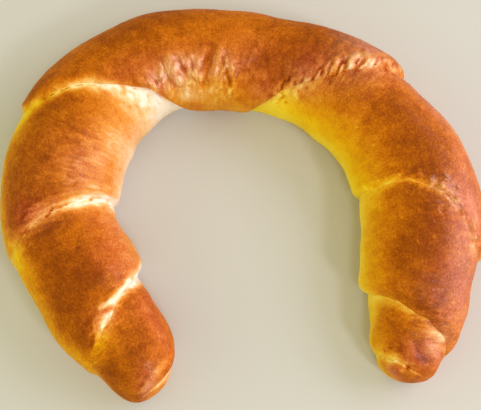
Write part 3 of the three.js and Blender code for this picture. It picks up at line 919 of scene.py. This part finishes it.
# Crust colour by bake: cream where its pale parts are lit, and a painted shaded copy where they are yellow as
# in shade
CREAM_CRUST = [
    (0.00, srgb(255, 249, 246)),
    (0.15, srgb(250, 210, 160)),
    (0.35, srgb(230, 154, 62)),
    (0.55, srgb(207, 114, 16)),
    (0.72, srgb(168, 86, 3)),
    (0.86, srgb(141, 67, 2)),
    (0.95, srgb(124, 55, 2)),
    (1.00, srgb(72, 40, 8)),
]
SHADED_YELLOW_CRUST = [
    (0.00, srgb(250, 228, 60)),
    (0.15, srgb(242, 206, 12)),
    (0.35, srgb(226, 162, 4)),
    (0.55, srgb(197, 117, 3)),
    (0.72, srgb(165, 87, 1)),
    (0.86, srgb(140, 68, 1)),
    (0.95, srgb(123, 57, 1)),
    (1.00, srgb(72, 44, 6)),
]
# The same where the crust is ruddy, partly real redness and partly a painted pink sheen
RUDDY_AND_SHEEN_CRUST = [
    (0.00, srgb(255, 246, 246)),
    (0.15, srgb(250, 205, 172)),
    (0.35, srgb(228, 157, 113)),
    (0.55, srgb(207, 113, 66)),
    (0.72, srgb(181, 83, 39)),
    (0.86, srgb(153, 60, 24)),
    (0.95, srgb(132, 48, 10)),
    (1.00, srgb(72, 36, 10)),
]


class Nodes:
    """Short way to add and join a material's nodes."""

    def __init__(self, material):
        material.use_nodes = True
        self.tree = material.node_tree
        self.tree.nodes.clear()

    def add(self, kind, **settings):
        node = self.tree.nodes.new(kind)
        for name, value in settings.items():
            setattr(node, name, value)
        return node

    def join(self, value, socket):
        if isinstance(value, bpy.types.NodeSocket):
            self.tree.links.new(value, socket)
        else:
            socket.default_value = value

    def put(self, node, **inputs):
        for name, value in inputs.items():
            self.join(value, node.inputs[name.replace("_", " ")])
        return node

    def attribute(self, name, output):
        return self.add("ShaderNodeAttribute", attribute_name=name).outputs[output]

    def math(self, operation, *values):
        node = self.add("ShaderNodeMath", operation=operation)
        for value, socket in zip(values, node.inputs):
            self.join(value, socket)
        return node.outputs[0]

    def step(self, value, low, high):
        """0 below low, 1 above high, smooth between."""
        node = self.add("ShaderNodeMapRange", interpolation_type="SMOOTHSTEP")
        self.put(node, Value=value, From_Min=low, From_Max=high)
        return node.outputs["Result"]

    def mix_colour(self, share, a, b):
        node = self.add("ShaderNodeMix", data_type="RGBA")
        self.join(share, node.inputs[0])
        self.join(a, node.inputs[6])
        self.join(b, node.inputs[7])
        return node.outputs[2]

    def noise(self, vector, scale, detail, roughness):
        node = self.add("ShaderNodeTexNoise")
        self.put(node, Vector=vector, Scale=scale, Detail=detail, Roughness=roughness)
        return node.outputs["Fac"]

    def stretched(self, vector, scale):
        node = self.add("ShaderNodeMapping")
        self.put(node, Vector=vector, Scale=scale)
        return node.outputs["Vector"]

    def centred(self, value, height):
        """A 0 to 1 value made to swing round 0 by half the height each way."""
        return self.math("MULTIPLY", self.math("SUBTRACT", value, 0.5), height)

    def ramp(self, value, stops):
        node = self.add("ShaderNodeValToRGB")
        elements = node.color_ramp.elements
        while len(elements) < len(stops):
            elements.new(1.0)
        for element, (place, colour) in zip(elements, stops):
            element.position = place
            element.color = colour
        self.put(node, Fac=value)
        return node.outputs["Color"]


# Random unevenness of the crust's bake, by how far each kind swings
BLOTCH_SWING = 0.52
GRAIN_SWING = 0.50
STREAK_SWING = 1.3
PALE_UNEVEN = 0.30  # share of it that the palest dough has; it rises to 1 with the bake
DARKEST_UNEVEN = 0.89  # bake that the unevenness alone doesn't pass
STREAK_STRETCH = (1.0, 0.28, 0.28)
CRINKLE_STRETCH = (1.0, 0.5, 0.5)

# Sheen of the crust
GLAZE_STARTS = 0.15
DULL_ROUGHNESS = 0.62
SHINE_SMOOTHS = 0.30
GRAIN_ROUGHENS = 0.25
PITS = 0.12
PITS_WHERE_SHINY = 0.40
SATIN_CRINKLES = 1.6
CRUST_DEEP = (1.0, 0.45, 0.15)  # how far red, green and blue light go in


def crust_material():
    material = bpy.data.materials.new("crust")
    n = Nodes(material)
    straight = n.attribute("straight", "Vector")
    bake, shine, satin, drawn = (n.attribute(name, "Fac") for name in ("bake", "shine", "satin", "strokes"))
    blotches = n.noise(straight, scale=260.0, detail=5.0, roughness=0.65)
    grain = n.noise(straight, scale=1500.0, detail=2.0, roughness=0.6)
    streaks = n.noise(n.stretched(straight, STREAK_STRETCH), scale=620.0, detail=4.0, roughness=0.65)
    crinkles = n.noise(n.stretched(straight, CRINKLE_STRETCH), scale=800.0, detail=1.0, roughness=0.4)

    uneven = n.math("ADD", n.centred(blotches, BLOTCH_SWING), n.centred(grain, GRAIN_SWING))
    uneven = n.math("SUBTRACT", uneven, n.math("MULTIPLY", n.centred(streaks, STREAK_SWING), drawn))
    share = n.math("MINIMUM", n.math("ADD", bake, PALE_UNEVEN), 1.0)
    brown = n.math("ADD", bake, n.math("MULTIPLY", uneven, share))
    brown = n.math("MINIMUM", brown, n.math("MAXIMUM", bake, DARKEST_UNEVEN))
    cream, shaded_yellow, ruddy_and_sheen = (n.ramp(brown, stops) for stops in (CREAM_CRUST, SHADED_YELLOW_CRUST, RUDDY_AND_SHEEN_CRUST))
    # painted shade: pale dough turns yellow where it stands in shade, and stays cream where it is lit
    colour = n.mix_colour(n.attribute("shaded_yellow", "Fac"), cream, shaded_yellow)
    # ruddy crust: partly real redness and partly a painted pink sheen
    colour = n.mix_colour(n.attribute("ruddy_and_sheen", "Fac"), colour, ruddy_and_sheen)

    glaze = n.math("MAXIMUM", n.step(shine, GLAZE_STARTS, 1.0), satin)
    rough = n.math("SUBTRACT", DULL_ROUGHNESS, n.math("MULTIPLY", shine, SHINE_SMOOTHS))
    rough = n.math("ADD", rough, n.centred(grain, GRAIN_ROUGHENS))
    pitted = n.math("ADD", n.math("MULTIPLY", shine, PITS_WHERE_SHINY), PITS)
    height = n.math("ADD", n.math("MULTIPLY", streaks, drawn), n.math("MULTIPLY", grain, pitted))
    bump = n.put(n.add("ShaderNodeBump"), Strength=0.8, Distance=0.0011, Height=height)
    satin_grain = n.math("MULTIPLY", n.math("MULTIPLY", grain, satin), SATIN_CRINKLES)
    crinkles = n.math("ADD", crinkles, satin_grain)
    crinkled = n.put(n.add("ShaderNodeBump"), Strength=1.0, Distance=0.0003, Height=crinkles)

    shader = n.add("ShaderNodeBsdfPrincipled")
    n.put(shader, Base_Color=colour, Roughness=rough, IOR=1.45)
    n.put(shader, Normal=bump.outputs["Normal"], Coat_Normal=crinkled.outputs["Normal"])
    n.put(shader, Specular_IOR_Level=0.10, Coat_Weight=glaze, Coat_Roughness=0.2, Coat_IOR=1.7)
    n.put(shader, Subsurface_Weight=0.08, Subsurface_Scale=0.002, Subsurface_Radius=CRUST_DEEP)
    n.put(n.add("ShaderNodeOutputMaterial"), Surface=shader.outputs["BSDF"])
    return material


def make_croissant():
    grid = skin_grid()
    wrinkled = patches_of(grid, WRINKLES_ELSEWHERE, WRINKLED) * wrinkles(grid)
    pleated = pleats(grid)
    torn = cracks(grid)
    relief = seam_relief(grid) + uneven_relief(grid) + wrinkled + pleated - CRACK_DEPTH * torn
    smooth_points = skin_points(grid, relief)[0]
    fold_relief, fold_bake_and_shading = fold_fields(grid, smooth_points)
    spot_relief, spot_bake_and_shading = spot_fields(grid, smooth_points)
    points, straight = skin_points(grid, relief + fold_relief + spot_relief)

    # the bake also carries painted shade in tears, grooves, pits and hollows, and painted highlight on
    # ridges, bumps and puffs
    bake = bake_field(grid) + fold_bake_and_shading + spot_bake_and_shading + CRACK_PAINTED_SHADE * torn
    bake = bake - PLEATS_PAINTED_LIGHT_AND_SHADE * pleated - WRINKLES_PAINTED_LIGHT_AND_SHADE * wrinkled
    # ruddy crust, partly real redness and partly a painted pink sheen
    ruddy_and_sheen = patches_of(grid, 0, RUDDY_AND_SHEEN_PATCHES) * (1 + layers(grid["length"], grid["place"], RUDDY_AND_SHEEN_NOISE))
    shine = patches_of(grid, SHINE_ELSEWHERE, SHINY) + np.clip(spot_relief, 0, SHINE_RELIEF)
    shine += GROOVES_DULL * np.clip(fold_relief + wrinkled + pleated, -SHINE_RELIEF, 0)
    strokes = np.maximum(near_seams(grid, strokes_at), STROKES_OF_SHINE * shine)
    fields = {
        "bake": bake,
        "shaded_yellow": by_lap(grid, "shaded_yellow") + patches_of(grid, 0, SHADED_YELLOW_PATCHES),
        "ruddy_and_sheen": ruddy_and_sheen,
        "shine": shine,
        "satin": patches_of(grid, 0, SATIN),
        "strokes": np.maximum(strokes, patches_of(grid, STROKES_ELSEWHERE, STROKED)),
    }

    mesh = make_mesh("croissant_crust", points * MM)
    for name, values in fields.items():
        store(mesh, name, np.clip(values, 0, 1))
    store(mesh, "straight", straight * MM)
    piece = bpy.data.objects.new("croissant_crust", mesh)
    bpy.context.scene.collection.objects.link(piece)
    mesh.materials.append(crust_material())
    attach(piece, "root")
    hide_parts("croissant")


# Floor, light and camera, in metres

FLOOR_HALF = 1.5
FLOOR_COLOUR = srgb(203, 207, 217)
DOME_COLOUR = (0.66, 0.60, 0.31, 1.0)

# Lamps: a wide one at the right, two in front that the folds mirror, a low one that grazes the right flank,
# and a weak one at the left
LAMPS = [
    {"name": "key", "place": (0.70, 0.25, 0.64), "size": (0.8, 0.4),
     "power": 3.5, "colour": (0.94, 0.84, 0.96)},
    {"name": "front", "place": (0.48, -0.48, 0.70), "size": (0.15, 0.15),
     "power": 1.8, "colour": (1.0, 0.91, 0.90)},
    {"name": "top", "place": (0.13, -0.39, 0.91), "size": (0.15, 0.15),
     "power": 1.0, "colour": (1.0, 0.91, 0.90)},
    {"name": "side", "place": (0.95, 0.12, 0.20), "size": (0.7, 0.25),
     "power": 2.6, "colour": (1.0, 0.80, 1.0)},
    {"name": "fill", "place": (-0.80, -0.10, 0.45), "size": (0.9, 0.6),
     "power": 1.1, "colour": (1.0, 0.95, 0.45)},
]


def make_floor():
    mesh = bpy.data.meshes.new("floor")
    corners = [(-FLOOR_HALF, -FLOOR_HALF, 0), (FLOOR_HALF, -FLOOR_HALF, 0),
               (FLOOR_HALF, FLOOR_HALF, 0), (-FLOOR_HALF, FLOOR_HALF, 0)]
    mesh.from_pydata(corners, [], [(0, 1, 2, 3)])
    floor = bpy.data.objects.new("floor", mesh)
    bpy.context.scene.collection.objects.link(floor)
    material = bpy.data.materials.new("floor")
    n = Nodes(material)
    shader = n.add("ShaderNodeBsdfPrincipled")
    n.put(shader, Base_Color=FLOOR_COLOUR, Roughness=0.8)
    n.put(n.add("ShaderNodeOutputMaterial"), Surface=shader.outputs["BSDF"])
    mesh.materials.append(material)


def make_light():
    world = bpy.data.worlds.new("studio")
    world.use_nodes = True
    world.node_tree.nodes["Background"].inputs["Color"].default_value = DOME_COLOUR
    bpy.context.scene.world = world
    for lamp in LAMPS:
        light = bpy.data.lights.new(lamp["name"], "AREA")
        light.shape = "RECTANGLE"
        light.size, light.size_y = lamp["size"]
        light.energy = lamp["power"]
        light.color = lamp["colour"]
        holder = bpy.data.objects.new(lamp["name"], light)
        bpy.context.scene.collection.objects.link(holder)
        holder.location = lamp["place"]
        holder.rotation_euler = Vector(lamp["place"]).to_track_quat("Z", "Y").to_euler()
    bpy.context.scene.view_settings.view_transform = "Standard"


# The camera looks down from the open end, a little off the vertical
CAMERA_AIM = Vector((-0.5, -2.1, 12.0)) * MM
CAMERA_TILT = math.radians(12.0)
CAMERA_DISTANCE = 274.4 * MM
CAMERA_LENS = 60.0
CAMERA_SENSOR = 36.0


def make_camera():
    data = bpy.data.cameras.new("camera")
    data.lens = CAMERA_LENS
    data.sensor_width = CAMERA_SENSOR
    data.clip_start = 0.01
    camera = bpy.data.objects.new("camera", data)
    bpy.context.scene.collection.objects.link(camera)
    away = Vector((0, -math.sin(CAMERA_TILT), math.cos(CAMERA_TILT)))
    camera.location = CAMERA_AIM + CAMERA_DISTANCE * away
    camera.rotation_euler = (CAMERA_TILT, 0, 0)
    bpy.context.scene.camera = camera


make_croissant()
make_floor()
make_light()
make_camera()

bpy.context.view_layer.update()
